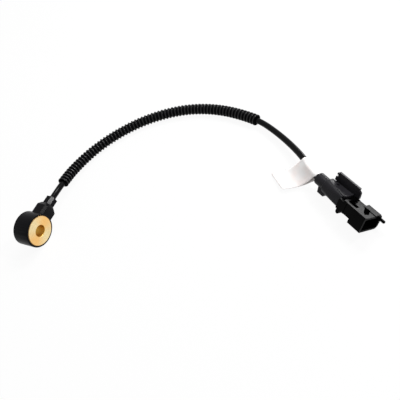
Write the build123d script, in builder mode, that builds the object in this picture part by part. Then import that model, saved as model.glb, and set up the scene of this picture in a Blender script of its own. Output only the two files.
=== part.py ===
from build123d import *
from math import cos, radians, sin, tan
import os

# An engine knock sensor: a ring-shaped head that a bolt clamps to the engine
# block, a cable in a corrugated tube, and a two-way connector on its far end.
# Millimetres, +Z up. The origin is the middle of the bolt's bore. The contact
# face looks along -Y, and the cable leaves the head along +X.

os.makedirs("parts", exist_ok=True)

# Pressure sleeve, the brass piece that the bolt clamps
bore_diameter = 8.4
bore_chamfer = 0.2
sleeve_length = 13.6
stem_diameter = 12.0
flange_diameter = 21.6
flange_thickness = 3.0
flange_chamfer = 0.3
groove_depth = 0.5
groove_width = 0.8
groove_inset = 0.9

# Stack round the sleeve
ring_diameter = 18.0
ring_clearance = 0.15
insulator_thickness = 0.3
contact_thickness = 0.3
piezo_thickness = 2.4
mass_thickness = 2.8
mass_chamfer = 0.4
spring_thickness = 0.6
spring_height = 0.9
nut_thickness = 2.0
nut_slot_width = 2.0
nut_slot_depth = 1.2
nut_slots = 4
tab_width = 2.2
tab_reach = 11.5
tab_spacing = 4.4
tab_overlap = 0.4

# Head housing
housing_wall = 1.2
face_proud = 0.3
housing_edge = 0.4
stack_clearance = 0.4
neck_reach = 17.7
neck_width = 12.8
neck_depth = 10.4
neck_shift = 0.4
neck_bevel = 1.6
shoulder_reach = 20.6
shoulder_width = 8.6
shoulder_depth = 8.2
collar_shift = 0.95
collar_reach = 26.7
collar_width = 7.6
collar_bevel = 1.9
pocket_clearance = 0.4
core_room = 0.5

# Cable, its tube and its label
cable_diameter = 4.4
head_seat = 6.5
gland_seat = 6.0
core_diameter = 1.5
core_spacing = 1.8
crimp_wall = 0.35
crimp_length = 2.6
crimp_lead = 0.4
core_straight = 2.4
core_bend = 1.2
tube_diameter = 8.3
tube_core_diameter = 6.7
tube_wall = 0.55
tube_start = 23.5
tube_end = 207.0
rib_pitch = 2.8
rib_width = 1.4
label_gap = 1.5
label_width = 18.0
label_thickness = 0.3
label_reach = 23.4
label_droop = 4.8
label_slope = 0.35
label_bend_at = 0.4
label_bend_share = 0.7
label_heading = 112.0
bend_share = 0.45

# Connector, in its own axes: x from the gland to the mouth, z to its top
connector_roll = 32.5
gland_diameter = 8.0
gland_length = 7.7
gland_edge = 0.7
body_diameter = 10.0
body_flat = 0.2
body_edge = 0.6
rear_length = 24.2
rear_width = 9.6
rear_height = 8.2
rear_shift = (-0.2, -0.1)
rear_corner = 0.9
tail_length = 4.6
tail_width = 8.2
tail_height = 5.0
tail_wall = 0.8
core_clearance = 0.4
core_way_corner = 0.8
plate_rear = 7.9
plate_rear_far = 3.0
plate_start = 10.6
plate_front = 25.2
plate_narrow = 3.0
plate_bow = 0.7
plate_top = 4.5
lip_width = 0.8
lip_height = 0.4
notch_diameter = 1.8
notch_depth = 0.8
notch_at = (14.2, 1.4)
foot_near = 2.8
foot_far = 1.6
foot_outline = [(3.6, 0), (4.9, -6.7), (10.0, -6.7), (11.6, -3.2), (11.6, 0)]
rail_position = 4.0
rail_thickness = 1.3
rail_top = 10.2
rail_start = 9.6
rail_end = 27.2
rail_flange = 0.2
rail_flange_height = 1.2
rail_gap = 0.1
rail_nose = (28.9, 8.2)
rail_heel = 29.4
rail_root = 15.0
rail_tail_length = 1.2
rail_tail_bottom = 4.2
rail_tail_top = 6.7
hook_length = 0.9
hook_reach = 1.5
collar_front = 30.2
collar_near = 6.7
collar_far = 5.0
collar_top = 4.2
collar_bottom = 3.9
recess_end = 27.6
recess_floor = 3.2
rib_length = 0.6
rib_near = 1.4
rib_far = 5.9
lug_radius = 1.3
lug_height = 5.0
lug_depth = 2.4
lug_at = (26.5, -3.7)
waist_front = 35.6
waist_near = 6.4
waist_far = 5.0
shroud_length = 45.2
shroud_left = 6.8
shroud_right = 8.6
shroud_top = 3.9
shroud_bottom = 6.3
shroud_corner = 0.9
shroud_round = 2.6
shroud_wall = 1.2
mouth_depth = 10.5
step_height = 0.35
step_width = 4.6
step_inset = 1.9
ridge_width = 1.2
ridge_height = 0.4
blade_width = 1.5
blade_thickness = 0.6
blade_spacing = 4.0
blade_recess = 4.9
blade_point = 0.8
blade_tip_width = 0.75
partition_length = 3.0
crimp_gap = 0.6
slot_start = 29.2
slot_end = 35.6
slot_near = -4.2
slot_far = -1.4
slot_opening = 1.7
slot_opening_length = 1.8
slot_depth = 1.6
window_outline = [(36.4, 2.1), (40.4, 2.6), (42.8, -1.2), (41.9, -3.9), (39.8, -2.4)]
peg_diameter = 1.9
peg_chamfer = 0.45
peg_reach = 3.7
peg_at = (7.4, 1.1)

# Worked out from the sizes above
bore_radius = bore_diameter / 2
stem_radius = stem_diameter / 2
flange_radius = flange_diameter / 2
ring_radius = ring_diameter / 2
contact_face = -sleeve_length / 2
back_face = sleeve_length / 2
housing_radius = flange_radius + housing_wall
housing_front = contact_face + face_proud
housing_back = back_face - face_proud
floor_level = -housing_radius
stack_radius = ring_radius + stack_clearance
ring_bore = stem_radius + ring_clearance
core_radius = core_diameter / 2
crimp_radius = core_radius + crimp_wall
core_way_width = core_spacing + core_diameter + 2 * core_clearance
core_way_height = core_diameter + 2 * core_clearance
pocket_start = stem_radius + housing_wall
pocket_end = neck_reach + pocket_clearance
pocket_width = tab_spacing + 2 * crimp_radius + 2 * pocket_clearance
cable_radius = cable_diameter / 2
tube_radius = tube_diameter / 2
tube_bore = tube_core_diameter - 2 * tube_wall
tube_wall_middle = (tube_core_diameter + tube_bore) / 4
lie = floor_level + tube_radius

# Places along the stack, from the flange to the nut
lower_insulator_at = contact_face + flange_thickness
lower_contact_at = lower_insulator_at + insulator_thickness
piezo_at = lower_contact_at + contact_thickness
upper_contact_at = piezo_at + piezo_thickness
upper_insulator_at = upper_contact_at + contact_thickness
mass_at = upper_insulator_at + insulator_thickness
spring_at = mass_at + mass_thickness
nut_at = spring_at + spring_height
stack_end = nut_at + nut_thickness

# The neck's pocket is deep enough for the upper core's crimp and for the cable's cores
crimp_top = upper_contact_at + contact_thickness / 2 + core_radius + crimp_radius
cores_top = collar_shift + core_radius
pocket_depth = max(crimp_top, cores_top) + core_room - lower_insulator_at
rail_foot = collar_top + rail_gap

# The cable's line: from its seat in the head's collar, down to the floor, round
# and up into the connector's gland. The points are chosen by hand.
cord_route = [
    (collar_reach - head_seat, collar_shift, 0),
    (31.0, collar_shift, 0),
    (44.5, 3.2, -2.6),
    (60.0, 4.6, -5.7),
    (79.0, 0.6, -7.6),
    (93.5, -7.2, lie),
    (106.0, -17.0, lie),
    (117.5, -29.0, lie),
    (126.5, -43.5, lie),
    (133.0, -59.0, lie),
    (136.2, -76.0, lie),
    (136.0, -93.5, lie),
    (132.8, -110.5, lie),
    (128.0, -126.0, lie),
    (119.0, -140.5, -7.2),
    (107.5, -155.5, -6.0),
    (95.0, -168.5, -4.0),
    (85.1, -175.4, -2.54),
    (76.9, -186.8, -2.54),
]


def across(place):
    """The plane square to the bolt's axis, at a place along it."""
    return Plane(origin=(0, place, 0), x_dir=(1, 0, 0), z_dir=(0, 1, 0))


def bend_radii(route):
    """One radius for each corner of a route, as large as its two runs allow."""
    points = [Vector(*point) for point in route]
    radii = []
    for before, corner, after in zip(points, points[1:], points[2:]):
        run_in = corner - before
        run_out = after - corner
        half_turn = radians(run_in.get_angle(run_out)) / 2
        radii.append(bend_share * min(run_in.length, run_out.length) / tan(half_turn))
    return radii


def round_wire(route, diameter, radii):
    """A round bar along a route of straight runs and arcs of the given radii."""
    with BuildPart() as bar:
        with BuildLine() as line:
            FilletPolyline(*route, radius=radii)
        with BuildSketch(Plane(origin=line.wire() @ 0, z_dir=line.wire() % 0)):
            Circle(diameter / 2)
        sweep()
    return bar


def save(piece, name):
    piece.part.label = name
    export_step(piece.part, f"parts/{name}.step")


# Pressure sleeve: the flange, the stem and the grooves that the plastic grips
with BuildPart() as pressure_sleeve:
    with BuildSketch(Plane.XY):
        with BuildLine():
            Polyline(
                (bore_radius + bore_chamfer, contact_face),
                (flange_radius - flange_chamfer, contact_face),
                (flange_radius, contact_face + flange_chamfer),
                (flange_radius, contact_face + flange_thickness),
                (stem_radius, contact_face + flange_thickness),
                (stem_radius, back_face),
                (bore_radius + bore_chamfer, back_face),
                (bore_radius, back_face - bore_chamfer),
                (bore_radius, contact_face + bore_chamfer),
                close=True,
            )
        make_face()
        with Locations((flange_radius, contact_face + groove_inset)):
            Rectangle(2 * groove_depth, groove_width, align=(Align.CENTER, Align.MIN), mode=Mode.SUBTRACT)
        with Locations((stem_radius, back_face - groove_inset)):
            Rectangle(groove_depth, groove_width / 2, align=(Align.CENTER, Align.MAX), mode=Mode.SUBTRACT)
    revolve(axis=Axis.Y)
save(pressure_sleeve, "pressure_sleeve")


def stack_ring(place, thickness, edge=0):
    """A flat ring on the stem, with its edges chamfered where edge is given."""
    with BuildPart() as ring:
        with BuildSketch(across(place)):
            Circle(ring_radius)
            Circle(ring_bore, mode=Mode.SUBTRACT)
        extrude(amount=thickness)
        if edge:
            chamfer(ring.edges().filter_by(GeomType.CIRCLE), edge)
    return ring


def contact_ring(place, tab_side):
    """A contact with a tab on one side of the neck's middle, and a crimp round its core."""
    crimp_plane = Plane(
        origin=(tab_reach - tab_overlap, place + contact_thickness / 2, tab_side * tab_spacing / 2),
        x_dir=(0, 1, 0),
        z_dir=(1, 0, 0),
    )
    with BuildPart() as ring:
        with BuildSketch(across(place)):
            Circle(ring_radius)
            with Locations((0, -tab_side * tab_spacing / 2)):
                Rectangle(tab_reach, tab_width, align=(Align.MIN, Align.CENTER))
            Circle(ring_bore, mode=Mode.SUBTRACT)
        extrude(amount=contact_thickness)
        with BuildSketch(crimp_plane):
            with Locations((core_radius, 0)):
                Circle(crimp_radius)
        extrude(amount=crimp_length)
        with BuildSketch(crimp_plane):
            with Locations((core_radius, 0)):
                Circle(core_radius)
        extrude(amount=crimp_length, mode=Mode.SUBTRACT)
    return ring


lower_insulator = stack_ring(lower_insulator_at, insulator_thickness)
save(lower_insulator, "lower_insulator")
lower_contact = contact_ring(lower_contact_at, -1)
save(lower_contact, "lower_contact")
piezo_ring = stack_ring(piezo_at, piezo_thickness)
save(piezo_ring, "piezo_ring")
upper_contact = contact_ring(upper_contact_at, 1)
save(upper_contact, "upper_contact")
upper_insulator = stack_ring(upper_insulator_at, insulator_thickness)
save(upper_insulator, "upper_insulator")

# Seismic mass, whose weight presses on the piezo ring
seismic_mass = stack_ring(mass_at, mass_thickness, mass_chamfer)
save(seismic_mass, "seismic_mass")

# Disc spring, a shallow cone between the mass and the nut
with BuildPart() as disc_spring:
    with BuildSketch(Plane.XY):
        with BuildLine():
            Polyline(
                (ring_radius, spring_at),
                (ring_radius, spring_at + spring_thickness),
                (ring_bore, spring_at + spring_height),
                (ring_bore, spring_at + spring_height - spring_thickness),
                close=True,
            )
        make_face()
    revolve(axis=Axis.Y)
save(disc_spring, "disc_spring")

# Ring nut that loads the stack, with slots for its spanner
with BuildPart() as ring_nut:
    with BuildSketch(across(nut_at)):
        Circle(ring_radius)
        Circle(stem_radius, mode=Mode.SUBTRACT)
        with PolarLocations(ring_radius, nut_slots):
            Rectangle(2 * nut_slot_depth, nut_slot_width, mode=Mode.SUBTRACT)
    extrude(amount=nut_thickness)
save(ring_nut, "ring_nut")


def head_core(place, tab_side):
    """The insulated core from a crimp to the end of the cable's jacket."""
    side = tab_side * tab_spacing / 2
    lift = place + contact_thickness / 2 + core_radius
    jacket_end = collar_reach - head_seat
    route = [
        (tab_reach, lift, side),
        (tab_reach + crimp_length + crimp_lead, lift, side),
        (jacket_end - core_straight, collar_shift, tab_side * core_spacing / 2),
        (jacket_end, collar_shift, tab_side * core_spacing / 2),
    ]
    return round_wire(route, core_diameter, core_bend)


head_ground_core = head_core(lower_contact_at, -1)
save(head_ground_core, "head_ground_core")
head_signal_core = head_core(upper_contact_at, 1)
save(head_signal_core, "head_signal_core")

# Head housing: the moulded ring, its neck, the shoulders and the eight-sided collar
with BuildPart() as sensor_housing:
    with BuildSketch(across(housing_front)):
        Circle(housing_radius)
    extrude(amount=housing_back - housing_front)
    fillet(sensor_housing.edges().filter_by(GeomType.CIRCLE), housing_edge)
    with BuildSketch(Plane.YZ.offset(stem_radius)) as neck_section:
        with Locations((neck_shift, 0)):
            Rectangle(neck_depth, neck_width)
        chamfer(neck_section.vertices(), neck_bevel)
    extrude(amount=neck_reach - stem_radius)
    with BuildSketch(Plane.YZ.offset(neck_reach)) as neck_end:
        with Locations((neck_shift, 0)):
            Rectangle(neck_depth, neck_width)
        chamfer(neck_end.vertices(), neck_bevel)
    with BuildSketch(Plane.YZ.offset(shoulder_reach)) as shoulder_section:
        with Locations((collar_shift, 0)):
            Rectangle(shoulder_depth, shoulder_width)
        chamfer(shoulder_section.vertices(), collar_bevel)
    loft()
    with BuildSketch(Plane.YZ.offset(shoulder_reach)) as collar_section:
        with Locations((collar_shift, 0)):
            Rectangle(collar_width, collar_width)
        chamfer(collar_section.vertices(), collar_bevel)
    extrude(amount=collar_reach - shoulder_reach)
    # Room for the stack, and for the tabs and cores in the neck
    with BuildSketch(across(lower_insulator_at)):
        Circle(stack_radius)
    extrude(amount=stack_end - lower_insulator_at, mode=Mode.SUBTRACT)
    with BuildSketch(Plane.YZ.offset(pocket_start)):
        with Locations((lower_insulator_at, 0)):
            Rectangle(pocket_depth, pocket_width, align=(Align.MIN, Align.CENTER))
    extrude(amount=pocket_end - pocket_start, mode=Mode.SUBTRACT)
    # Seat of the cable, and the way for its cores
    with BuildSketch(Plane.YZ.offset(pocket_end)):
        with Locations((collar_shift, 0)):
            Circle(cable_radius)
    extrude(amount=collar_reach - pocket_end, mode=Mode.SUBTRACT)
    # The sleeve's seat: the bolt's way is clear, and the plastic fills the grooves
    with BuildSketch(across(housing_front)):
        Circle(bore_radius + bore_chamfer)
    extrude(amount=housing_back - housing_front, mode=Mode.SUBTRACT)
    add(pressure_sleeve.part, mode=Mode.SUBTRACT)
save(sensor_housing, "sensor_housing")

# Cable, one round bar from seat to seat
cable = round_wire(cord_route, cable_diameter, bend_radii(cord_route))
save(cable, "cable")
print("cable radii", [round(radius, 1) for radius in bend_radii(cord_route)])

with BuildLine() as cord_line:
    FilletPolyline(*cord_route, radius=bend_radii(cord_route))
cord_path = cord_line.wire()


def cord_stretch(start, end):
    """The part of the cable's line between two distances from its start."""
    return cord_path.trim(start / cord_path.length, end / cord_path.length)


def cord_plane(distance):
    """The plane square to the cable at a distance from its start, with y upward."""
    fraction = distance / cord_path.length
    along = cord_path % fraction
    return Plane(origin=cord_path @ fraction, x_dir=Vector(0, 0, 1).cross(along), z_dir=along)


# Corrugated tube: one moulding with its ribs, from near the head to near the label
rib_count = int((tube_end - tube_start - rib_width) / rib_pitch) + 1
rib_planes = [cord_plane(tube_start + rib_width / 2 + index * rib_pitch) for index in range(rib_count)]
with BuildPart() as corrugated_tube:
    with BuildLine():
        add(cord_stretch(tube_start, tube_end))
    with BuildSketch(cord_plane(tube_start)):
        Circle(tube_core_diameter / 2)
        Circle(tube_bore / 2, mode=Mode.SUBTRACT)
    sweep()
    with BuildSketch(*rib_planes):
        Circle(tube_radius)
        Circle(tube_wall_middle, mode=Mode.SUBTRACT)
    extrude(amount=rib_width / 2, both=True)
save(corrugated_tube, "corrugated_tube")

# Label: a blank strip folded round the cable, with both ends stuck into a flag
label_start = cord_path.length - gland_seat - label_gap - label_width
label_edge = cord_path @ (label_start / cord_path.length)
label_end = cord_path @ ((label_start + label_width) / cord_path.length)
label_way = Vector(cos(radians(label_heading)), sin(radians(label_heading)), 0)
label_under = cable_radius + label_thickness / 2
with BuildPart() as cable_label:
    with BuildLine():
        add(cord_stretch(label_start, label_start + label_width))
    with BuildSketch(cord_plane(label_start)):
        Circle(cable_radius + label_thickness)
    sweep()
    with BuildSketch(Plane(origin=label_edge, x_dir=label_way, z_dir=label_way.cross(Vector(0, 0, 1)))):
        with BuildLine():
            Spline(
                (0, -label_under),
                (label_reach * label_bend_at, -label_under - label_droop * label_bend_share),
                (label_reach, -label_under - label_droop),
                tangents=[(1, -label_slope), (1, 0)],
            )
        trace(line_width=label_thickness)
    extrude(amount=label_width, dir=label_end - label_edge)
    add(cable.part, mode=Mode.SUBTRACT)
save(cable_label, "cable_label")

# The connector's own axes start where the cable enters its gland
cable_end = Vector(*cord_route[-1])
forward = (cable_end - Vector(*cord_route[-2])).normalized()
upward = Vector(0, 0, 1)
leftward = upward.cross(forward)
connector_top = upward * cos(radians(connector_roll)) + leftward * sin(radians(connector_roll))
connector = Plane(origin=cable_end - forward * gland_seat, x_dir=forward, z_dir=connector_top)
connector_axis = Axis(connector.origin, connector.x_dir)


def station(place):
    """The plane square to the connector's length. Its sketches use side and height."""
    origin = connector.from_local_coords(Vector(place, 0, 0))
    return Plane(origin=origin, x_dir=connector.y_dir, z_dir=connector.x_dir)


def upright(side):
    """The plane along the connector's length and height. It extrudes to the near side."""
    origin = connector.from_local_coords(Vector(0, side, 0))
    return Plane(origin=origin, x_dir=connector.x_dir, z_dir=-connector.y_dir)


def in_connector(point):
    """A point given in the connector's own axes, in the part's frame."""
    return tuple(connector.from_local_coords(Vector(*point)))


tail_start = rear_length - tail_length
blade_tip = shroud_length - blade_recess
partition_front = shroud_length - mouth_depth
partition_back = partition_front - partition_length
crimp_end = partition_back - crimp_gap
crimp_start = crimp_end - crimp_length
mouth_middle = (shroud_right - shroud_left) / 2
shroud_middle = (shroud_top - shroud_bottom) / 2


def contact_blade(side):
    """A flat blade, held in the partition, with a crimp on its rear end."""
    with BuildPart() as blade:
        with BuildSketch(connector.offset(-blade_thickness / 2)):
            with BuildLine():
                Polyline(
                    (crimp_end - blade_point, side - blade_width / 2),
                    (blade_tip - blade_point, side - blade_width / 2),
                    (blade_tip, side - blade_tip_width / 2),
                    (blade_tip, side + blade_tip_width / 2),
                    (blade_tip - blade_point, side + blade_width / 2),
                    (crimp_end - blade_point, side + blade_width / 2),
                    close=True,
                )
            make_face()
        extrude(amount=blade_thickness)
        with BuildSketch(station(crimp_start)):
            with Locations((side, 0)):
                Circle(crimp_radius)
                Circle(core_radius, mode=Mode.SUBTRACT)
        extrude(amount=crimp_length)
    return blade


ground_blade = contact_blade(-blade_spacing / 2)
save(ground_blade, "ground_blade")
signal_blade = contact_blade(blade_spacing / 2)
save(signal_blade, "signal_blade")


def connector_core(side, exit_side):
    """The insulated core from the end of the cable's jacket to a blade's crimp."""
    route = [
        in_connector((gland_seat, exit_side, 0)),
        in_connector((gland_seat + core_straight, exit_side, 0)),
        in_connector((crimp_start - core_straight, side, 0)),
        in_connector((crimp_end - blade_point, side, 0)),
    ]
    return round_wire(route, core_diameter, core_bend)


connector_ground_core = connector_core(-blade_spacing / 2, -core_spacing / 2)
save(connector_ground_core, "connector_ground_core")
connector_signal_core = connector_core(blade_spacing / 2, core_spacing / 2)
save(connector_signal_core, "connector_signal_core")

# Connector housing, glossy: tail, collar, waist and shroud with its mouth
with BuildPart() as connector_housing:
    with BuildSketch(station(tail_start)):
        RectangleRounded(tail_width, tail_height, tail_wall)
    extrude(amount=partition_front - tail_start)
    with BuildSketch(station(rear_length)):
        with Locations(((collar_far - collar_near) / 2, (recess_floor - collar_bottom) / 2)):
            RectangleRounded(collar_far + collar_near, recess_floor + collar_bottom, shroud_corner)
    extrude(amount=recess_end - rear_length)
    with BuildSketch(station(recess_end)):
        with Locations(((collar_far - collar_near) / 2, (collar_top - collar_bottom) / 2)):
            RectangleRounded(collar_far + collar_near, collar_top + collar_bottom, shroud_corner)
    extrude(amount=collar_front - recess_end)
    with BuildSketch(station(recess_end)):
        with Locations((rib_near, 0)):
            Rectangle(rib_far - rib_near, collar_top, align=Align.MIN)
    extrude(amount=rib_length)
    with BuildSketch(station(collar_front)):
        with Locations(((waist_far - waist_near) / 2, (shroud_top - collar_bottom) / 2)):
            RectangleRounded(waist_near + waist_far, shroud_top + collar_bottom, shroud_corner)
    extrude(amount=waist_front - collar_front)
    with BuildSketch(station(waist_front)) as shroud_outline:
        with Locations((mouth_middle, shroud_middle)):
            Rectangle(shroud_left + shroud_right, shroud_top + shroud_bottom)
        fillet(shroud_outline.vertices().group_by(Axis.X)[-1], shroud_round)
        fillet(shroud_outline.vertices().group_by(Axis.X)[0], shroud_corner)
    extrude(amount=shroud_length - waist_front)
    # Raised step and ridge on the shroud's top
    with BuildSketch(connector.offset(shroud_top - shroud_corner)):
        with Locations((shroud_length, shroud_right - step_inset)):
            Rectangle(shroud_length - waist_front, step_width, align=Align.MAX)
    extrude(amount=shroud_corner + step_height)
    with BuildSketch(connector.offset(shroud_top - shroud_corner)):
        with Locations((shroud_length, -waist_near)):
            Rectangle(shroud_length - collar_front, ridge_width, align=(Align.MAX, Align.MIN))
    extrude(amount=shroud_corner + ridge_height)
    # Mouth
    with BuildSketch(station(partition_front)):
        with Locations((mouth_middle, shroud_middle)):
            RectangleRounded(
                shroud_left + shroud_right - 2 * shroud_wall,
                shroud_top + shroud_bottom - 2 * shroud_wall,
                shroud_corner,
            )
    extrude(amount=mouth_depth, mode=Mode.SUBTRACT)
    # Room for the crimps, and the slots that hold the blades
    with BuildSketch(station(tail_start)):
        RectangleRounded(tail_width - 2 * tail_wall, tail_height - 2 * tail_wall, tail_wall / 2)
    extrude(amount=partition_back - tail_start, mode=Mode.SUBTRACT)
    with BuildSketch(station(partition_back)):
        with Locations((-blade_spacing / 2, 0), (blade_spacing / 2, 0)):
            Rectangle(blade_width, blade_thickness)
    extrude(amount=partition_length, mode=Mode.SUBTRACT)
    # Latch slot with its wider rear end, and the window in the top
    with BuildSketch(connector.offset(shroud_top - slot_depth)):
        with Locations((slot_start, slot_near)):
            Rectangle(slot_end - slot_start, slot_far - slot_near, align=Align.MIN)
            Rectangle(slot_opening_length, slot_opening - slot_near, align=Align.MIN)
    extrude(amount=slot_depth + collar_top, mode=Mode.SUBTRACT)
    with BuildSketch(connector.offset(shroud_middle)):
        with BuildLine():
            Polyline(*window_outline, close=True)
        make_face()
    extrude(amount=shroud_top + step_height, mode=Mode.SUBTRACT)
    # Lug under the collar and peg beside the mouth
    with BuildSketch(upright(lug_depth - collar_near)):
        with Locations(lug_at):
            SlotOverall(lug_height, 2 * lug_radius, rotation=90)
    extrude(amount=lug_depth)
    with BuildSketch(station(waist_front + shroud_wall)):
        with Locations(peg_at):
            Circle(peg_diameter / 2)
    extrude(amount=shroud_length + peg_reach - waist_front - shroud_wall)
    peg_end = connector_housing.edges().filter_by(GeomType.CIRCLE).sort_by(connector_axis)[-1]
    chamfer(peg_end, peg_chamfer)
save(connector_housing, "connector_housing")

# Rear overmould, matte: gland, flared body, top plate, foot and the bracket's rail
with BuildPart() as rear_overmould:
    with BuildSketch(station(gland_length)):
        RectangleRounded(body_diameter, body_diameter, (body_diameter - body_flat) / 2)
    with BuildSketch(station(rear_length)):
        with Locations(rear_shift):
            RectangleRounded(rear_width, rear_height, rear_corner)
    loft()
    chamfer(rear_overmould.faces().sort_by(connector_axis)[0].edges(), body_edge)
    with BuildSketch(station(0)):
        Circle(gland_diameter / 2)
    extrude(amount=gland_length)
    gland_end = rear_overmould.edges().filter_by(GeomType.CIRCLE).sort_by(connector_axis)[0]
    fillet(gland_end, gland_edge)
    with BuildSketch(connector.offset(recess_floor)):
        with BuildLine():
            Line((plate_start, -plate_narrow / 2), (plate_front, -rail_position))
            ThreePointArc((plate_front, -rail_position), (plate_front + plate_bow, 0), (plate_front, rail_position))
            Line((plate_front, rail_position), (plate_rear, plate_rear_far))
            Line((plate_rear, plate_rear_far), (plate_rear, 0))
            Line((plate_rear, 0), (plate_start, -plate_narrow / 2))
        make_face()
    extrude(amount=plate_top - recess_floor)
    with BuildSketch(connector.offset(recess_floor)):
        with BuildLine():
            ThreePointArc((plate_front, -rail_position), (plate_front + plate_bow, 0), (plate_front, rail_position))
            Line((plate_front, rail_position), (plate_front - lip_width, rail_position))
            ThreePointArc(
                (plate_front - lip_width, rail_position),
                (plate_front - lip_width + plate_bow, 0),
                (plate_front - lip_width, -rail_position),
            )
            Line((plate_front - lip_width, -rail_position), (plate_front, -rail_position))
        make_face()
    extrude(amount=plate_top + lip_height - recess_floor)
    with BuildSketch(connector.offset(plate_top - notch_depth)):
        with Locations(notch_at):
            Circle(notch_diameter / 2)
    extrude(amount=2 * notch_depth, mode=Mode.SUBTRACT)
    with BuildSketch(upright(foot_far)):
        with BuildLine():
            Polyline(*foot_outline, close=True)
        make_face()
    extrude(amount=foot_near + foot_far)
    with BuildSketch(upright(rail_position + rail_thickness)):
        with BuildLine():
            Polyline(
                (rail_start, rail_top),
                (rail_end, rail_top),
                (rail_end, rail_top - rail_flange_height),
                rail_nose,
                (rail_heel, rail_foot),
                (recess_end - rail_gap, rail_foot),
                (recess_end - rail_gap, recess_floor + rail_gap),
                (rear_length, recess_floor + rail_gap),
                (rear_length, 0),
                (rail_root, 0),
                (rail_start, rail_tail_bottom),
                (rail_start - rail_tail_length, rail_tail_bottom),
                (rail_start - rail_tail_length, rail_tail_top),
                (rail_start, rail_tail_top),
                close=True,
            )
        make_face()
    extrude(amount=rail_thickness)
    with BuildSketch(upright(rail_position + rail_thickness + rail_flange)):
        with Locations((rail_start, rail_top)):
            Rectangle(rail_end - rail_start, rail_flange_height, align=(Align.MIN, Align.MAX))
    extrude(amount=rail_flange + rail_thickness / 2)
    with BuildSketch(upright(rail_position + rail_thickness)):
        with Locations((rail_start, rail_top)):
            Rectangle(hook_length, rail_flange_height, align=(Align.MIN, Align.MAX))
    extrude(amount=rail_thickness + hook_reach)
    # Seats of the tail and the cable, and the way for the cores
    with BuildSketch(station(tail_start)):
        RectangleRounded(tail_width, tail_height, tail_wall)
    extrude(amount=tail_length, mode=Mode.SUBTRACT)
    with BuildSketch(station(0)):
        Circle(cable_radius)
    extrude(amount=gland_seat, mode=Mode.SUBTRACT)
    with BuildSketch(station(gland_seat)):
        RectangleRounded(core_way_width, core_way_height, core_way_corner)
    with BuildSketch(station(tail_start)):
        RectangleRounded(tail_width - 2 * tail_wall, tail_height - 2 * tail_wall, core_way_corner)
    loft(mode=Mode.SUBTRACT)
save(rear_overmould, "rear_overmould")

print("cord length", round(cord_path.length, 1), "label from", round(label_start, 1))
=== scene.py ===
import random
from contextlib import contextmanager
from math import cos, pi, radians, sin

import bmesh
import bpy
from bpy.props import FloatProperty, FloatVectorProperty, IntProperty, PointerProperty
from mathutils import Matrix, Vector


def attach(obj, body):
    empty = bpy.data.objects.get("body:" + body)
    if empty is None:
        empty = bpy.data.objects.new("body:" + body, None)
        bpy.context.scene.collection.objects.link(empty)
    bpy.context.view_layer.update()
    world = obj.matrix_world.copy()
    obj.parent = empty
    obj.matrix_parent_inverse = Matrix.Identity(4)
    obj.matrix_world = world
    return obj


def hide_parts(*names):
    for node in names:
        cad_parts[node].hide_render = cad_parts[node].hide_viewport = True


bl_info = {
    "name": "Engine knock sensor",
    "version": (1, 0, 0),
    "blender": (4, 5, 0),
    "location": "View3D > Sidebar > Sensor",
    "description": "Dresses the packed model of an engine knock sensor and its cable",
    "category": "Object",
}

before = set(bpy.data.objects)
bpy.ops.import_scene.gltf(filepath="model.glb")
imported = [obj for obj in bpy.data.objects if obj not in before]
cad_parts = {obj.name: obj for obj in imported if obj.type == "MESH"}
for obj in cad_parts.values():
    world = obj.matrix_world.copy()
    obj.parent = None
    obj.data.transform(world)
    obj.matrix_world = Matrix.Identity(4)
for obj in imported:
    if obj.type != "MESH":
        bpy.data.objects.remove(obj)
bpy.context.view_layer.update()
UP = Vector((0, 0, 1))

# All lengths are in metres. The cable's line, from its seat in the head to its seat in the connector
ROUTE = [
    (0.0202, 0.00095, 0.0),
    (0.0310, 0.00095, 0.0),
    (0.0445, 0.0032, -0.0026),
    (0.0600, 0.0046, -0.0057),
    (0.0790, 0.0006, -0.0076),
    (0.0935, -0.0072, -0.00785),
    (0.1060, -0.0170, -0.00785),
    (0.1175, -0.0290, -0.00785),
    (0.1265, -0.0435, -0.00785),
    (0.1330, -0.0590, -0.00785),
    (0.1362, -0.0760, -0.00785),
    (0.1360, -0.0935, -0.00785),
    (0.1328, -0.1105, -0.00785),
    (0.1280, -0.1260, -0.00785),
    (0.1190, -0.1405, -0.0072),
    (0.1075, -0.1555, -0.0060),
    (0.0950, -0.1685, -0.0040),
    (0.0851, -0.1754, -0.00254),
    (0.0769, -0.1868, -0.00254),
]

# One rib of the tube: share of its width and share of its height
RIB = [
    (0.0, 0.0), (0.05, 0.50), (0.14, 0.84), (0.28, 0.98), (0.50, 1.0),
    (0.72, 0.98), (0.86, 0.84), (0.95, 0.50), (1.0, 0.0),
]
# How uneven the ribs' heights are, the sides of the tube's section, and the steps along its bore
RIB_UNEVENNESS = 0.03
RIB_SEED = 7
TUBE_SIDES = 32
BORE_STEP = 0.003

# The label: its steps along the cable, out to its free edge and round the cable
LABEL_STATIONS = 25
FLAG_STEPS = 22
TURN_STEPS = 18
# Where its lower layer leaves the cable. How far a layer's middle lies off the cable and off the flag's
# middle, in thicknesses of its paper
UNDER_TURN = 3 * pi / 2 - 0.25
CABLE_GAP = 0.7
FLAG_GAP = 0.62
# How fast the flag falls, comes together and loses the cable's bend on its way out
FALL_RATE = 1.15
FALL_CURVE = 2.2
FOLD_CURVE = 1.6
STRAIGHT_RATE = 3
# Its wave, with the turns of it out from the cable and along it, and the rounding of its two free corners
WAVE_HEIGHT = 0.00035
WAVE_OUT = 5
WAVE_ALONG = 2.2
CORNER_DEPTH = 0.0012
CORNER_START = 0.86

# The window in the top of the connector's front, along and across it, and how far its cutter rises
WINDOW = [(0.0364, 0.0021), (0.0404, 0.0026), (0.0428, -0.0012), (0.0419, -0.0039), (0.0398, -0.0024)]
WINDOW_RISE = 0.006

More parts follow.
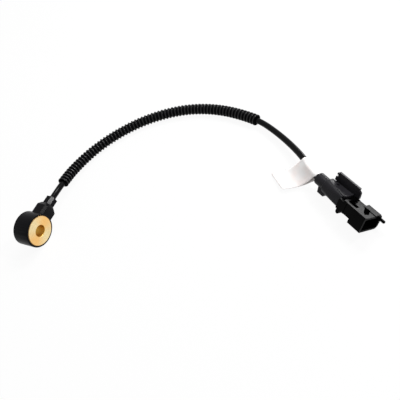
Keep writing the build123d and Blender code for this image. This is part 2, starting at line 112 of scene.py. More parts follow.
# Rear wall of the connector's shroud and the end of its waist: blocks, each from corner to corner
SHROUD_REAR = [
    ((0.0356, 0.0049, -0.0053), (0.0364, 0.0076, 0.0029)),
    ((0.0356, -0.0058, -0.0053), (0.0364, 0.0076, -0.0038)),
    ((0.0346, 0.0038, -0.0039), (0.0357, 0.0050, 0.0029)),
    ((0.0346, -0.0058, -0.0039), (0.0357, 0.0050, -0.0027)),
]

# How the mouldings' solids are cleaned: corners nearer than WELD become one, edges flatter than FLAT_ANGLE
# go, and edges sharper than SHARP_ANGLE are rounded
WELD = 2e-6
FLAT_ANGLE = radians(0.6)
SHARP_ANGLE = radians(32)

# Where the head's collar starts along X, and the radii on the brass where its bore ends and its rim starts
COLLAR_START = (0.0200, 0.0208)
BORE_END = (0.00425, 0.0045)
RIM_START = (0.01035, 0.01055)

# The camera that the photograph was fitted with
CAMERA_PLACE = (-0.1072, -0.2578, 0.2460)
CAMERA_RIGHT = (0.3796, -0.8816, -0.2805)
CAMERA_BACK = (-0.477, -0.4463, 0.7572)
CAMERA_SENSOR = 36.0
CAMERA_CLIP = (0.01, 20.0)

# The floor's height and half its width, how white it looks, and the surroundings' light, where 1 is white
FLOOR_HEIGHT = -0.012
FLOOR_HALF = 6.0
FLOOR_WHITENESS = 0.93
SURROUND = 0.42

# The lamps face one point. Each has a place, a width and a length, and the way that its length runs
LAMP_TARGET = (0.075, -0.09, 0.0)
LAMPS = {
    "key": ((0.335, -0.53, 0.555), 0.09, 0.09, (0, 0, 1)),
    "strip": ((0.563, -0.20, 0.614), 0.09, 0.40, (0.252, -0.88, -0.40)),
    "side": ((0.91, -0.32, 0.08), 0.34, 0.24, (0, 0, 1)),
}


class CordSizes(bpy.types.PropertyGroup):
    cable_diameter: FloatProperty(
        name="Cable diameter", description="Across the cable's jacket",
        default=0.0044, min=0.001, unit="LENGTH",
    )
    cable_length: FloatProperty(
        name="Cable length", description="From seat to seat along the cable",
        default=0.2908, min=0.05, unit="LENGTH",
    )
    tube_crest: FloatProperty(
        name="Tube diameter", description="Across the crests of the tube's ribs",
        default=0.0083, min=0.002, unit="LENGTH",
    )
    tube_valley: FloatProperty(
        name="Valley diameter", description="Across the tube between two ribs",
        default=0.0067, min=0.002, unit="LENGTH",
    )
    tube_bore: FloatProperty(
        name="Tube bore", description="Across the inside of the tube",
        default=0.0056, min=0.002, unit="LENGTH",
    )
    tube_start: FloatProperty(
        name="Tube start", description="Where the tube starts along the cable",
        default=0.0235, min=0.0, unit="LENGTH",
    )
    tube_end: FloatProperty(
        name="Tube end", description="Where the tube ends along the cable",
        default=0.207, min=0.01, unit="LENGTH",
    )
    rib_pitch: FloatProperty(
        name="Rib pitch", description="From one rib of the tube to the next",
        default=0.0028, min=0.0005, unit="LENGTH",
    )
    rib_width: FloatProperty(
        name="Rib width", description="Length of one rib along the tube",
        default=0.0014, min=0.0002, unit="LENGTH",
    )


class LabelSizes(bpy.types.PropertyGroup):
    start: FloatProperty(
        name="Label start", description="Where the label starts along the cable",
        default=0.2653, min=0.0, unit="LENGTH",
    )
    width: FloatProperty(
        name="Label width", description="The label's width along the cable",
        default=0.018, min=0.001, unit="LENGTH",
    )
    reach: FloatProperty(
        name="Label reach", description="From the cable to the label's free edge",
        default=0.0234, min=0.001, unit="LENGTH",
    )
    droop: FloatProperty(
        name="Label droop", description="How far the free edge lies below the cable",
        default=0.0048, unit="LENGTH",
    )
    heading: FloatProperty(
        name="Label heading", description="Which way the label points, seen from above",
        default=radians(112), subtype="ANGLE",
    )
    fold: FloatProperty(
        name="Fold", description="Share of the reach in which the two layers come together",
        default=0.55, min=0.1, max=1.0,
    )
    top_turn: FloatProperty(
        name="Top turn", description="Where the upper layer leaves the cable, round from its level side",
        default=radians(45), subtype="ANGLE",
    )
    paper: FloatProperty(
        name="Paper thickness", description="Thickness of one layer of the label",
        default=0.00011, min=0.00002, unit="LENGTH",
    )


class ConnectorSizes(bpy.types.PropertyGroup):
    roll: FloatProperty(
        name="Connector roll", description="How far its top leans to the side",
        default=radians(32.5), subtype="ANGLE",
    )
    seat: FloatProperty(
        name="Cable seat", description="How deep the cable sits in the gland",
        default=0.006, min=0.0, unit="LENGTH",
    )
    window_floor: FloatProperty(
        name="Window floor", description="Height in the mouth from which the window is open",
        default=0.0012, unit="LENGTH",
    )


class EdgeSizes(bpy.types.PropertyGroup):
    head: FloatProperty(
        name="Head edges", description="Rounding of the edges of the head's moulding",
        default=0.00035, min=0.0, unit="LENGTH",
    )
    front: FloatProperty(
        name="Front edges", description="Rounding of the edges of the connector's glossy front",
        default=0.00014, min=0.0, unit="LENGTH",
    )
    rear: FloatProperty(
        name="Rear edges", description="Rounding of the edges of the connector's matte rear",
        default=0.00025, min=0.0, unit="LENGTH",
    )
    steps: IntProperty(
        name="Edge steps", description="Faces across each rounded edge of the mouldings",
        default=2, min=1,
    )


class FinishColours(bpy.types.PropertyGroup):
    brass: FloatVectorProperty(
        name="Brass", description="Colour of the turned brass sleeve",
        default=(0.90, 0.645, 0.29), size=3, subtype="COLOR",
    )
    head: FloatVectorProperty(
        name="Head", description="Colour of the head's moulded plastic",
        default=(0.0016, 0.0015, 0.0024), size=3, subtype="COLOR",
    )
    cable: FloatVectorProperty(
        name="Cable", description="Colour of the cable's jacket",
        default=(0.0015, 0.0015, 0.0019), size=3, subtype="COLOR",
    )
    tube: FloatVectorProperty(
        name="Tube", description="Colour of the corrugated tube",
        default=(0.0012, 0.0012, 0.0017), size=3, subtype="COLOR",
    )
    label: FloatVectorProperty(
        name="Label", description="Colour of the label's paper",
        default=(0.96, 0.945, 0.94), size=3, subtype="COLOR",
    )
    connector: FloatVectorProperty(
        name="Connector", description="Colour of the glossy front of the connector",
        default=(0.0010, 0.0010, 0.0011), size=3, subtype="COLOR",
    )
    overmould: FloatVectorProperty(
        name="Overmould", description="Colour of the matte rear of the connector",
        default=(0.015, 0.0145, 0.017), size=3, subtype="COLOR",
    )


class StageSettings(bpy.types.PropertyGroup):
    lens: FloatProperty(
        name="Lens", description="Focal length in millimetres on a 36 mm sensor",
        default=45.0, min=1.0,
    )
    floor_colour: FloatVectorProperty(
        name="Floor", description="Colour of the floor",
        default=(0.92, 0.92, 0.92), size=3, subtype="COLOR",
    )
    key_power: FloatProperty(
        name="Key light", description="Power of the small light in front of the head",
        default=2.0, min=0.0, unit="POWER",
    )
    strip_power: FloatProperty(
        name="Strip light", description="Power of the long light above the cable",
        default=3.8, min=0.0, unit="POWER",
    )
    side_power: FloatProperty(
        name="Side light", description="Power of the low light beyond the connector",
        default=3.6, min=0.0, unit="POWER",
    )


# Materials

class Value:
    """One output of a node, with the arithmetic that its numbers take."""

    def __init__(self, nodes, socket):
        self.nodes = nodes
        self.socket = socket

    def maths(self, operation, *terms):
        return self.nodes.add("ShaderNodeMath", {"operation": operation}, dict(enumerate(terms)))

    def __add__(self, other):
        return self.maths("ADD", self, other)

    def __sub__(self, other):
        return self.maths("SUBTRACT", self, other)

    def __rsub__(self, other):
        return self.maths("SUBTRACT", other, self)

    def __mul__(self, other):
        return self.maths("MULTIPLY", self, other)

    def __truediv__(self, other):
        return self.maths("DIVIDE", self, other)

    def __pow__(self, other):
        return self.maths("POWER", self, other)

    __radd__ = __add__
    __rmul__ = __mul__

    def sine(self):
        return self.maths("SINE", self)

    def higher(self, other):
        return self.maths("MAXIMUM", self, other)


class Nodes:
    """A tree of shader nodes, and the methods that add to it."""

    def __init__(self, tree):
        self.tree = tree

    def feed(self, socket, value):
        if isinstance(value, Value):
            self.tree.links.new(value.socket, socket)
        else:
            socket.default_value = value

    def add(self, kind, settings, sockets, output=0):
        """Adds a node with its settings, then the numbers or links of its sockets."""
        node = self.tree.nodes.new(kind)
        for name, setting in settings.items():
            setattr(node, name, setting)
        for place, value in sockets.items():
            self.feed(node.inputs[place], value)
        return Value(self, node.outputs[output])

    def spread(self, value, low, high, to_low=0.0, to_high=1.0):
        """Maps low to high of a value onto two other numbers, and holds it beyond them."""
        sockets = {"Value": value, "From Min": low, "From Max": high, "To Min": to_low, "To Max": to_high}
        return self.add("ShaderNodeMapRange", {"interpolation_type": "SMOOTHSTEP"}, sockets)

    def seen(self):
        """1 where the camera looks, straight or by gloss and glass, and 0 for light on a surface."""
        names = ("Is Camera Ray", "Is Glossy Ray", "Is Transmission Ray")
        straight, gloss, glass = (self.add("ShaderNodeLightPath", {}, {}, name) for name in names)
        return straight.higher(gloss).higher(glass)


class Finish(Nodes):
    """A material, and the methods that place its patterns and paint it."""

    def __init__(self, name):
        self.material = bpy.data.materials.new(name)
        self.material.use_nodes = True
        super().__init__(self.material.node_tree)
        self.surface = self.tree.nodes["Principled BSDF"]

    def place(self):
        return self.add("ShaderNodeTexCoord", {}, {}, "Object")

    def axis(self, output):
        return self.add("ShaderNodeSeparateXYZ", {}, {0: self.place()}, output)

    def noise(self, scale, detail=2.0, roughness=0.5):
        """A cloudy pattern with scale clouds to the metre."""
        sockets = {"Vector": self.place(), "Scale": scale, "Detail": detail, "Roughness": roughness}
        return self.add("ShaderNodeTexNoise", {}, sockets)

    def mix(self, factor, first, second):
        """Mixes two colours, each a link or three numbers."""
        ends = [end if isinstance(end, Value) else (*end, 1.0) for end in (first, second)]
        return self.add("ShaderNodeMix", {"data_type": "RGBA"}, {0: factor, 6: ends[0], 7: ends[1]}, 2)

    def bump(self, height, depth, strength=1.0):
        return self.add("ShaderNodeBump", {}, {"Strength": strength, "Distance": depth, "Height": height})

    def paint(self, **sockets):
        """Sets or links the surface's own sockets, under plainer names."""
        names = {"colour": "Base Color", "roughness": "Roughness", "metallic": "Metallic", "normal": "Normal",
                 "specular": "Specular IOR Level", "coat": "Coat Weight", "coat_roughness": "Coat Roughness"}
        for name, value in sockets.items():
            if name == "colour" and not isinstance(value, Value):
                value = (*value, 1.0)
            self.feed(self.surface.inputs[names[name]], value)
        return self.material


def scaled(colour, factor):
    return tuple(min(1.0, part * factor) for part in colour)


def mould(finish, colour, roughness, grain_size, grain_depth, grain_wear=0.06, **looks):
    """Paints moulded plastic: a fine grain that dulls it, and faint flow marks."""
    flow = finish.noise(scale=160, detail=3.0)
    grain = finish.noise(scale=1 / grain_size, roughness=0.6)
    dull = roughness + (flow - 0.5) * 0.10
    if grain_wear:
        dull = dull + (grain - 0.5) * grain_wear
    return finish.paint(
        colour=finish.mix(flow, scaled(colour, 0.75), scaled(colour, 1.35)),
        roughness=dull,
        normal=finish.bump(grain, grain_depth, strength=0.6),
        **looks,
    )


def moulded_plastic(name, colour, **looks):
    """Injection-moulded plastic with the same finish all over."""
    return mould(Finish(name), colour, **looks)


def head_plastic(name, colour):
    """The head's moulding, whose collar is glossier than the rest."""
    finish = Finish(name)
    collar = finish.spread(finish.axis("X"), *COLLAR_START)
    return mould(
        finish, colour,
        roughness=0.32 - collar * 0.15, specular=0.06, grain_size=1 / 2900, grain_depth=0.000002,
    )


def ribbed_plastic(name, colour):
    """The tube's plastic: glossy on the ribs' crests, and dull between them, where the coat is taken away as
    painted shade in the gaps.
    """
    finish = Finish(name)
    crest = finish.add("ShaderNodeAttribute", {"attribute_name": "rib_height"}, {}, "Fac")
    # Painted shade: the coat, and with it the reflection, fades out towards the valleys, so the gaps between
    # the ribs read dark
    gloss = finish.spread(crest, 0.75, 1.0, to_high=0.5)
    return mould(
        finish, colour,
        roughness=0.45, specular=0.02, grain_size=1 / 2500, grain_depth=0.000003, grain_wear=0,
        coat=gloss, coat_roughness=0.20,
    )


def turned_brass(name, colour):
    """Turned brass: rings from the lathe, a painted highlight that runs pale and brown round them, a dark
    rim, and a browner bore that is painted shade and reflection.
    """
    finish = Finish(name)
    red, green, blue = colour
    across = finish.axis("X")
    height = finish.axis("Z")
    radius = (across * across + height * height) ** 0.5
    wobble = finish.noise(scale=420, detail=3.0)
    fine_pitch, wide_pitch = 0.00022, 0.0011
    fine_rings = (radius * (2 * pi / fine_pitch) + wobble * 2.0).sine()
    wide_rings = (radius * (2 * pi / wide_pitch) + wobble * 1.5).sine()
    rim = finish.spread(radius, *RIM_START)
    bore = 1.0 - finish.spread(radius, *BORE_END)
    # Painted highlight: two pale fan-shaped patches of reflected light, above and below the bore, that lean a
    # little, painted into the colour
    upright, lean, never_zero = 0.47, 0.342, 1e-9
    highlight_fans = (height * height - across * across) * upright - across * height * lean
    sheen = 0.5 + highlight_fans / (radius * radius + never_zero)
    # Pale and brown are the two ends of the painted highlight; pale also serves the random tone below
    pale = (red, green * 1.14, blue * 1.40)
    brown = (red * 1.02, green * 0.80, blue * 0.55)
    dark_rim = scaled((red, green * 0.7, blue * 0.4), 0.16)
    # Painted shade and painted reflection of brass on brass inside the bore
    painted_bore_shade = (red * 0.70, green * 0.56, blue * 0.12)
    # Painted highlight: the colour runs from brown to pale with the fan-shaped patches, shifted a little at
    # random
    tone = finish.mix(sheen + (wobble - 0.5) * 0.4, brown, pale)
    tone = finish.mix(finish.noise(scale=260, detail=4.0) * 0.3, tone, pale)
    tone = finish.mix(rim * 0.9, tone, dark_rim)
    tone = finish.mix(bore * 0.9, tone, painted_bore_shade)
    return finish.paint(
        colour=tone,
        metallic=1.0,
        roughness=0.30 + wobble * 0.10 + bore * 0.12,
        normal=finish.bump(fine_rings * 0.5 + wide_rings * 0.5, 0.00003),
    )


def rubber_jacket(name, colour):
    """Extruded cable jacket: nearly smooth, with small marks and a satin sheen."""
    finish = Finish(name)
    marks = finish.noise(scale=900, detail=3.0)
    cloud = finish.noise(scale=120)
    return finish.paint(
        colour=finish.mix(cloud, scaled(colour, 0.8), scaled(colour, 1.4)),
        roughness=0.19 + (cloud - 0.5) * 0.06 + (marks - 0.5) * 0.06,
        specular=0.07,
        normal=finish.bump(marks, 0.000005, strength=0.5),
    )


def label_paper(name, colour):
    """Blank paper: fibres, soft dents and a slightly warm cast in patches."""
    finish = Finish(name)
    fibre = finish.noise(scale=5200, detail=4.0, roughness=0.65)
    dents = finish.noise(scale=130, detail=1.5)
    warm = (colour[0], colour[1] * 0.94, colour[2] * 0.92)
    colours = finish.mix(finish.spread(dents, 0.35, 0.7), colour, warm)
    return finish.paint(
        colour=finish.mix(fibre * 0.10, colours, scaled(colour, 0.8)),
        roughness=0.55 + fibre * 0.15,
        specular=0.35,
        normal=finish.bump(dents + fibre * 0.04, 0.0003, strength=0.35),
    )


def plain_metal(name, colour, roughness, scratch_depth):
    """Rolled or turned metal inside the part, with fine scratches and dull spots."""
    finish = Finish(name)
    spots = finish.noise(scale=700, detail=4.0)
    scratches = finish.noise(scale=4200)
    return finish.paint(
        colour=finish.mix(spots, scaled(colour, 0.82), colour),
        metallic=1.0,
        roughness=roughness + (spots - 0.5) * 0.2,
        normal=finish.bump(scratches, scratch_depth, strength=0.5),
    )


def fired_ceramic(name, colour):
    """Fired ceramic: a pale body with fine specks."""
    finish = Finish(name)
    specks = finish.noise(scale=5000, detail=5.0, roughness=0.7)
    return finish.paint(
        colour=finish.mix(finish.spread(specks, 0.45, 0.7), colour, scaled(colour, 0.7)),
        roughness=0.5 + specks * 0.15,
        normal=finish.bump(specks, 0.00001, strength=0.5),
    )


# Objects and meshes

def turn_onto(x_way, y_way, z_way):
    """The turn that brings the three axes onto three directions."""
    return Matrix((x_way, y_way, z_way)).transposed().to_4x4()


def new_object(name, data):
    thing = bpy.data.objects.new(name, data)
    bpy.context.scene.collection.objects.link(thing)
    return thing


def new_piece(name, data, material):
    piece = new_object(name, data)
    data.materials.append(material)
    return piece


@contextmanager
def edited(mesh):
    """Opens a mesh for edits, and writes them back to it."""
    form = bmesh.new()
    form.from_mesh(mesh)
    yield form
    form.to_mesh(mesh)
    form.free()


def woven_mesh(name, rows, closed):
    """A smooth mesh through rows of points, joined end to end both ways if it is closed."""
    count = len(rows[0])
    open_by = 0 if closed else 1
    faces = []
    for row in range(len(rows) - open_by):
        here, there = row * count, (row + 1) % len(rows) * count
        for k in range(count - open_by):
            after = (k + 1) % count
            faces.append((here + k, here + after, there + after, there + k))
    mesh = bpy.data.meshes.new(name)
    mesh.from_pydata([point for row in rows for point in row], [], faces)
    if closed:
        with edited(mesh) as form:
            bmesh.ops.recalc_face_normals(form, faces=form.faces)
    for face in mesh.polygons:
        face.use_smooth = True
    return mesh


def dress(material, *nodes):
    """Gives solids of the frame their own material."""
    for node in nodes:
        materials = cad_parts[node].data.materials
        materials.clear()
        materials.append(material)


def softened_copy(node, name, edge, material, finished=None):
    """A copy of a moulding's solid whose edges are rounded, as a mould leaves them."""
    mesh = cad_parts[node].data.copy()
    if finished:
        mesh = finished(mesh)
    mesh.name = name
    mesh.materials.clear()
    if "custom_normal" in mesh.attributes:
        mesh.attributes.remove(mesh.attributes["custom_normal"])
    with edited(mesh) as form:
        bmesh.ops.remove_doubles(form, verts=form.verts, dist=WELD)
        bmesh.ops.dissolve_limit(form, angle_limit=FLAT_ANGLE, verts=form.verts, edges=form.edges)
        bmesh.ops.recalc_face_normals(form, faces=form.faces)
        for face in form.faces:
            face.smooth = True
    mesh.set_sharp_from_angle(angle=SHARP_ANGLE)
    piece = new_piece(name, mesh, material)
    rounding = piece.modifiers.new("rounded edges", "BEVEL")
    rounding.width = edge
    rounding.segments = bpy.context.scene.sensor_edges.steps
    rounding.limit_method = "ANGLE"
    rounding.angle_limit = SHARP_ANGLE
    rounding.use_clamp_overlap = True
    rounding.harden_normals = True
    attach(piece, "root")
    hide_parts(node)
    return piece


# The connector's front

def connector_axes():
    """The connector's own axes: along it to the mouth, across it, and to its top."""
    sizes = bpy.context.scene.sensor_connector
    end = Vector(ROUTE[-1])
    forward = (end - Vector(ROUTE[-2])).normalized()
    top = UP * cos(sizes.roll) + UP.cross(forward) * sin(sizes.roll)
    return Matrix.Translation(end - forward * sizes.seat) @ turn_onto(forward, top.cross(forward), top)


def window_cutter():
    """A prism that stands through the top wall of the connector's front."""
    window_floor = bpy.context.scene.sensor_connector.window_floor
    axes = connector_axes()
    heights = (window_floor, window_floor + WINDOW_RISE)
    points = [axes @ Vector((*corner, height)) for height in heights for corner in WINDOW]
    count = len(WINDOW)
    sides = [(k, (k + 1) % count, count + (k + 1) % count, count + k) for k in range(count)]
    mesh = bpy.data.meshes.new("window_cutter")
    mesh.from_pydata(points, [], sides + [tuple(range(count)), tuple(range(count, 2 * count))])
    with edited(mesh) as form:
        bmesh.ops.recalc_face_normals(form, faces=form.faces)
    return new_object("window_cutter", mesh)


def opened_front(mesh):
    """The connector's front with its window open and the shroud's rear wall closed."""
    cutter = window_cutter()
    with edited(mesh) as form:
        bmesh.ops.remove_doubles(form, verts=form.verts, dist=WELD)
    blank = new_object("blank", mesh)
    cut = blank.modifiers.new("cut", "BOOLEAN")
    cut.operation = "DIFFERENCE"
    cut.solver = "EXACT"
    cut.object = cutter
    bpy.context.view_layer.update()
    result = bpy.data.meshes.new_from_object(blank.evaluated_get(bpy.context.evaluated_depsgraph_get()))
    bpy.data.objects.remove(blank)
    bpy.data.objects.remove(cutter)
    if len(result.polygons) <= len(mesh.polygons):
        raise RuntimeError("the window didn't cut the connector's top")
    with edited(result) as form:
        for corners in SHROUD_REAR:
            low, high = (Vector(corner) for corner in corners)
            middle = connector_axes() @ Matrix.Translation((low + high) / 2)
            bmesh.ops.create_cube(form, size=1.0, matrix=middle @ Matrix.Diagonal((*(high - low), 1.0)))
    return result


# The cable's line, and what lies round it

def route_curve(name):
    """The cable's line as a smooth curve, without a thickness."""
    curve = bpy.data.curves.new(name, "CURVE")
    curve.dimensions = "3D"
    curve.resolution_u = 24
    line = curve.splines.new("NURBS")
    line.points.add(len(ROUTE) - 1)
    for point, place in zip(line.points, ROUTE):
        point.co = (*place, 1.0)
    line.order_u = 3
    line.use_endpoint_u = True
    return curve


class CordLine:
    """Places and directions along the cable's drawn line."""

    def __init__(self):
        guide = new_object("cord_guide", route_curve("cord_guide"))
        drawn = bpy.data.meshes.new_from_object(guide)
        self.points = [vertex.co.copy() for vertex in drawn.vertices]
        bpy.data.objects.remove(guide)
        bpy.data.meshes.remove(drawn)
        self.marks = [0.0]
        for before, after in zip(self.points, self.points[1:]):
            self.marks.append(self.marks[-1] + (after - before).length)

    def at(self, distance):
        """The point and the direction at a distance from the line's start."""
        index = 1
        while index < len(self.marks) - 1 and self.marks[index] < distance:
            index += 1
        start, end = self.points[index - 1], self.points[index]
        share = (distance - self.marks[index - 1]) / (self.marks[index] - self.marks[index - 1])
        before = self.points[max(index - 2, 0)]
        after = self.points[min(index + 1, len(self.points) - 1)]
        way = (start - before).normalized() * (1 - share) + (after - end).normalized() * share
        return start.lerp(end, share), (way + (end - start).normalized()).normalized()

    def frame_at(self, distance):
        """The point, the level direction across the line, and the one above it."""
        place, way = self.at(distance)
        across = UP.cross(way).normalized()
        return place, across, way.cross(across)


def tube_outside(sizes):
    """The tube's outside from its start to its end, rib by rib, as distances and radii."""
    valley = sizes.tube_valley / 2
    rise = sizes.tube_crest / 2 - valley
    rng = random.Random(RIB_SEED)
    outline = []
    place = sizes.tube_start
    while place + sizes.rib_width <= sizes.tube_end:
        tall = rise * (1 + rng.uniform(-RIB_UNEVENNESS, 0.0))
        outline += [(place + along * sizes.rib_width, valley + height * tall) for along, height in RIB]
        outline.append((place + (sizes.rib_width + sizes.rib_pitch) / 2, valley))
        place += sizes.rib_pitch
    outline[-1] = (sizes.tube_end, valley)
    return outline


def tube_inside(sizes):
    """The tube's bore from its end back to its start, as distances and radii."""
    places = [sizes.tube_end]
    place = sizes.tube_end - BORE_STEP
    while place > sizes.tube_start + BORE_STEP:
        places.append(place)
        place -= BORE_STEP
    return [(place, sizes.tube_bore / 2) for place in (*places, sizes.tube_start)]


class LabelFlag:
    """The part of the label that stands out from the cable, in two layers that come together."""

    def __init__(self, sizes, hug):
        self.sizes = sizes
        self.hug = hug
        self.way = Vector((cos(sizes.heading), sin(sizes.heading), 0))
        self.leave = hug * cos(sizes.top_turn) / sizes.reach
        self.climb = hug * (1 + sin(sizes.top_turn)) + self.fall(self.leave)

    def fall(self, out):
        """How far the flag has fallen at a share of its reach."""
        return self.sizes.droop * (1 - (1 - min(out * FALL_RATE, 1)) ** FALL_CURVE)

    def point(self, out, layer, share, centre, chord):
        """A point of the upper layer, 1, or the lower one, -1, at shares of the flag's reach and width."""
        if layer > 0:
            out = self.leave + (1 - self.leave) * out
        base = centre.lerp(chord, min(out * STRAIGHT_RATE, 1))
        wave = WAVE_HEIGHT * sin(out * WAVE_OUT + share * WAVE_ALONG) * out
        into_corner = max(0.0, abs(share - 0.5) * 2 - CORNER_START) / (1 - CORNER_START)
        corner = CORNER_DEPTH * into_corner ** 2 * out
        lift = layer * self.sizes.paper * FLAG_GAP
        if layer > 0:
            apart = 1 - min((out - self.leave) / (self.sizes.fold - self.leave), 1)
            lift += self.climb * apart ** FOLD_CURVE
        down = self.hug + self.fall(out) - wave - lift
        return base + self.way * (self.sizes.reach * out - corner) - UP * down


def label_rows(sizes, cable_diameter):
    """Rows of points over the label, each from its free edge round the cable and back."""
    line = CordLine()
    hug = cable_diameter / 2 + sizes.paper * CABLE_GAP
    flag = LabelFlag(sizes, hug)
    first = line.at(sizes.start)[0]
    last = line.at(sizes.start + sizes.width)[0]
    rows = []
    for station in range(LABEL_STATIONS):
        share = station / (LABEL_STATIONS - 1)
        centre, across, over = line.frame_at(sizes.start + sizes.width * share)
        side = 1 if across.dot(flag.way) > 0 else -1
        chord = first.lerp(last, share)
        row = [flag.point(1 - step / FLAG_STEPS, 1, share, centre, chord) for step in range(FLAG_STEPS)]
        for step in range(TURN_STEPS + 1):
            turn = sizes.top_turn + (UNDER_TURN - sizes.top_turn) * step / TURN_STEPS
            row.append(centre + (across * side * cos(turn) + over * sin(turn)) * hug)
        row += [flag.point((step + 1) / FLAG_STEPS, -1, share, centre, chord) for step in range(FLAG_STEPS)]
        rows.append(row)
    return rows


# The stage

def pale_floor(colour):
    """The floor's finish, which looks nearly white and keeps the part's shadow."""
    finish = Finish("pale_floor")
    finish.paint(colour=colour, roughness=0.9, specular=0.1)
    glow = finish.add("ShaderNodeEmission", {}, {"Color": (1, 1, 1, 1), "Strength": 1.0})
    lit = Value(finish, finish.surface.outputs[0])
    both = finish.add("ShaderNodeMixShader", {}, {0: finish.seen() * FLOOR_WHITENESS, 1: lit, 2: glow})
    finish.feed(finish.tree.nodes["Material Output"].inputs["Surface"], both)
    return finish.material


def white_surroundings():
    """A world that is white to the camera and lights the part more softly."""
    world = bpy.data.worlds.new("studio")
    world.use_nodes = True
    sky = Nodes(world.node_tree)
    background = sky.tree.nodes["Background"]
    sky.feed(background.inputs["Color"], (1, 1, 1, 1))
    sky.feed(background.inputs["Strength"], sky.spread(sky.seen(), 0.0, 1.0, to_low=SURROUND))
    return world


def area_lamp(name, power):
    """A lamp that faces the lamps' target, with its length turned the way that LAMPS gives."""
    place, width, length, along = LAMPS[name]
    light = bpy.data.lights.new(name, "AREA")
    light.shape = "RECTANGLE"
    light.size = width
    light.size_y = length
    light.energy = power
    back = (Vector(place) - Vector(LAMP_TARGET)).normalized()
    across = Vector(along).cross(back).normalized()
    turn = turn_onto(across, back.cross(across), back)
    new_object(name, light).matrix_world = Matrix.Translation(place) @ turn


# Operators, one for each piece or group of pieces and one for the stage

class SENSOR_OT_camera(bpy.types.Operator):
    """Places the camera where the photograph was taken from"""
    bl_idname = "sensor.camera"
    bl_label = "Camera"

    def execute(self, context):
        camera = new_object("camera", bpy.data.cameras.new("camera"))
        camera.data.lens = context.scene.sensor_stage.lens
        camera.data.sensor_width = CAMERA_SENSOR
        camera.data.clip_start, camera.data.clip_end = CAMERA_CLIP
        right = Vector(CAMERA_RIGHT).normalized()
        back = Vector(CAMERA_BACK).normalized()
        up = back.cross(right).normalized()
        camera.matrix_world = Matrix.Translation(CAMERA_PLACE) @ turn_onto(right, up, back)
        context.scene.camera = camera
        return {"FINISHED"}


class SENSOR_OT_cable(bpy.types.Operator):
    """Draws the cable along its route"""
    bl_idname = "sensor.cable"
    bl_label = "Cable"

    def execute(self, context):
        curve = route_curve("cable_jacket")
        curve.bevel_depth = context.scene.sensor_cord.cable_diameter / 2
        curve.bevel_resolution = 6
        curve.use_fill_caps = True
        material = rubber_jacket("cable_jacket", tuple(context.scene.sensor_colours.cable))
        cable = new_piece("cable_jacket", curve, material)
        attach(cable, "root")
        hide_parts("cable")
        return {"FINISHED"}


class SENSOR_OT_corrugated_tube(bpy.types.Operator):
    """Moulds the corrugated tube round the cable"""
    bl_idname = "sensor.corrugated_tube"
    bl_label = "Corrugated tube"

    def execute(self, context):
        sizes = context.scene.sensor_cord
        line = CordLine()
        count = TUBE_SIDES
        turns = [2 * pi * k / count for k in range(count)]
        section = tube_outside(sizes) + tube_inside(sizes)
        rings = []
        for distance, radius in section:
            centre, across, above = line.frame_at(distance)
            rings.append([centre + (across * cos(turn) + above * sin(turn)) * radius for turn in turns])
        material = ribbed_plastic("tube_plastic", tuple(context.scene.sensor_colours.tube))
        mesh = woven_mesh("corrugated_sleeve", rings, closed=True)
        tube = new_piece("corrugated_sleeve", mesh, material)
        valley, rise = sizes.tube_valley / 2, (sizes.tube_crest - sizes.tube_valley) / 2
        heights = [max(0.0, (radius - valley) / rise) for distance, radius in section for turn in turns]
        mesh.attributes.new("rib_height", "FLOAT", "POINT").data.foreach_set("value", heights)
        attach(tube, "root")
        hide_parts("corrugated_tube")
        return {"FINISHED"}


class SENSOR_OT_cable_label(bpy.types.Operator):
    """Folds the blank label round the cable"""
    bl_idname = "sensor.cable_label"
    bl_label = "Label"

    def execute(self, context):
        sizes = context.scene.sensor_label
        rows = label_rows(sizes, context.scene.sensor_cord.cable_diameter)
        mesh = woven_mesh("label_paper", rows, closed=False)
        material = label_paper("label_paper", tuple(context.scene.sensor_colours.label))
        label = new_piece("blank_label", mesh, material)
        layer = label.modifiers.new("paper", "SOLIDIFY")
        layer.thickness = sizes.paper
        layer.offset = 0.0
        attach(label, "root")
        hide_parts("cable_label")
        return {"FINISHED"}


class SENSOR_OT_head(bpy.types.Operator):
    """Dresses the head: its moulded housing and its brass sleeve"""
    bl_idname = "sensor.head"
    bl_label = "Head"

    def execute(self, context):
        colours = context.scene.sensor_colours
        plastic = head_plastic("head_plastic", tuple(colours.head))
        edge = context.scene.sensor_edges.head
        softened_copy("sensor_housing", "head_moulding", edge, plastic)
        dress(turned_brass("turned_brass", tuple(colours.brass)), "pressure_sleeve")
        return {"FINISHED"}


class SENSOR_OT_inner_stack(bpy.types.Operator):
    """Dresses the pieces inside the head and the cores of the cable"""
    bl_idname = "sensor.inner_stack"
    bl_label = "Inner stack"

    def execute(self, context):
        steel = plain_metal("turned_steel", (0.50, 0.50, 0.51), roughness=0.35, scratch_depth=0.000004)
        bronze = plain_metal("spring_bronze", (0.75, 0.52, 0.34), roughness=0.32, scratch_depth=0.000002)
        film = moulded_plastic(
            "insulator_film", (0.55, 0.30, 0.06),
            roughness=0.25, specular=0.5, grain_size=0.0010, grain_depth=0.000004,
        )
        insulation = moulded_plastic(
            "core_insulation", (0.10, 0.10, 0.11),
            roughness=0.45, specular=0.5, grain_size=0.0006, grain_depth=0.00001,
        )
        dress(steel, "seismic_mass", "disc_spring", "ring_nut")
        dress(bronze, "lower_contact", "upper_contact")
        dress(film, "lower_insulator", "upper_insulator")
        dress(insulation, "head_ground_core", "head_signal_core")
        dress(insulation, "connector_ground_core", "connector_signal_core")
        dress(fired_ceramic("piezo_ceramic", (0.62, 0.57, 0.46)), "piezo_ring")
        return {"FINISHED"}


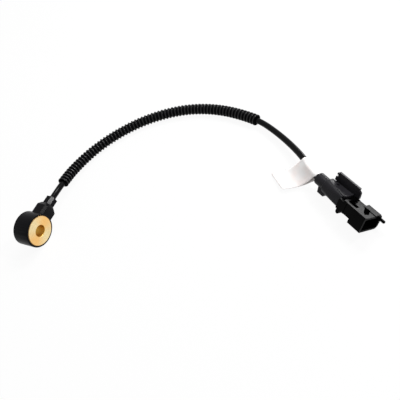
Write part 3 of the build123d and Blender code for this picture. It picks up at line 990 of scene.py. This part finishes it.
class SENSOR_OT_connector(bpy.types.Operator):
    """Dresses the connector: its glossy front, matte rear and two blades"""
    bl_idname = "sensor.connector"
    bl_label = "Connector"

    def execute(self, context):
        colours = context.scene.sensor_colours
        edges = context.scene.sensor_edges
        glossy = moulded_plastic(
            "connector_plastic", tuple(colours.connector),
            roughness=0.22, specular=0.03, grain_size=0.0009, grain_depth=0.000004,
        )
        matte = moulded_plastic(
            "overmould_plastic", tuple(colours.overmould),
            roughness=0.33, specular=0.075, grain_size=0.00030, grain_depth=0.000006,
        )
        tin = plain_metal("tinned_blade", (0.72, 0.70, 0.66), roughness=0.25, scratch_depth=0.000002)
        softened_copy(
            "connector_housing", "connector_front", edges.front, glossy,
            finished=opened_front,
        )
        softened_copy("rear_overmould", "connector_rear", edges.rear, matte)
        dress(tin, "ground_blade", "signal_blade")
        return {"FINISHED"}


class SENSOR_OT_cord_facts(bpy.types.Operator):
    """Does nothing and finishes at once; it states none of the cable's facts"""
    bl_idname = "sensor.cord_facts"
    bl_label = "Cable facts"

    def execute(self, context):
        return {"FINISHED"}


class SENSOR_OT_stage(bpy.types.Operator):
    """Makes the pale floor, the white surroundings and the lamps"""
    bl_idname = "sensor.stage"
    bl_label = "Stage"

    def execute(self, context):
        scene = context.scene
        settings = scene.sensor_stage
        scene.view_settings.view_transform = "Standard"
        near, far = -FLOOR_HALF, FLOOR_HALF
        corners = [(x, y, FLOOR_HEIGHT) for x, y in ((near, near), (far, near), (far, far), (near, far))]
        mesh = bpy.data.meshes.new("floor")
        mesh.from_pydata(corners, [], [(0, 1, 2, 3)])
        mesh.materials.append(pale_floor(tuple(settings.floor_colour)))
        new_object("floor", mesh)
        scene.world = white_surroundings()
        area_lamp("key", settings.key_power)
        area_lamp("strip", settings.strip_power)
        area_lamp("side", settings.side_power)
        return {"FINISHED"}


STEPS = [
    SENSOR_OT_camera,
    SENSOR_OT_cable,
    SENSOR_OT_corrugated_tube,
    SENSOR_OT_cable_label,
    SENSOR_OT_head,
    SENSOR_OT_inner_stack,
    SENSOR_OT_connector,
    SENSOR_OT_cord_facts,
    SENSOR_OT_stage,
]
GROUPS = {
    "sensor_cord": CordSizes,
    "sensor_label": LabelSizes,
    "sensor_connector": ConnectorSizes,
    "sensor_edges": EdgeSizes,
    "sensor_colours": FinishColours,
    "sensor_stage": StageSettings,
}


class SENSOR_PT_panel(bpy.types.Panel):
    """Lists the sensor's sizes, colours and pieces"""
    bl_label = "Knock sensor"
    bl_idname = "SENSOR_PT_panel"
    bl_space_type = "VIEW_3D"
    bl_region_type = "UI"
    bl_category = "Sensor"

    def draw(self, context):
        for name, group in GROUPS.items():
            column = self.layout.column()
            for key in group.__annotations__:
                column.prop(getattr(context.scene, name), key)
        for step in STEPS:
            self.layout.operator(step.bl_idname)


def register():
    for name, group in GROUPS.items():
        bpy.utils.register_class(group)
        setattr(bpy.types.Scene, name, PointerProperty(type=group))
    for step in STEPS:
        bpy.utils.register_class(step)
    bpy.utils.register_class(SENSOR_PT_panel)


def unregister():
    bpy.utils.unregister_class(SENSOR_PT_panel)
    for step in reversed(STEPS):
        bpy.utils.unregister_class(step)
    for name, group in GROUPS.items():
        delattr(bpy.types.Scene, name)
        bpy.utils.unregister_class(group)


def main():
    register()
    for step in STEPS:
        group, name = step.bl_idname.split(".")
        getattr(getattr(bpy.ops, group), name)()


if __name__ == "__main__":
    main()
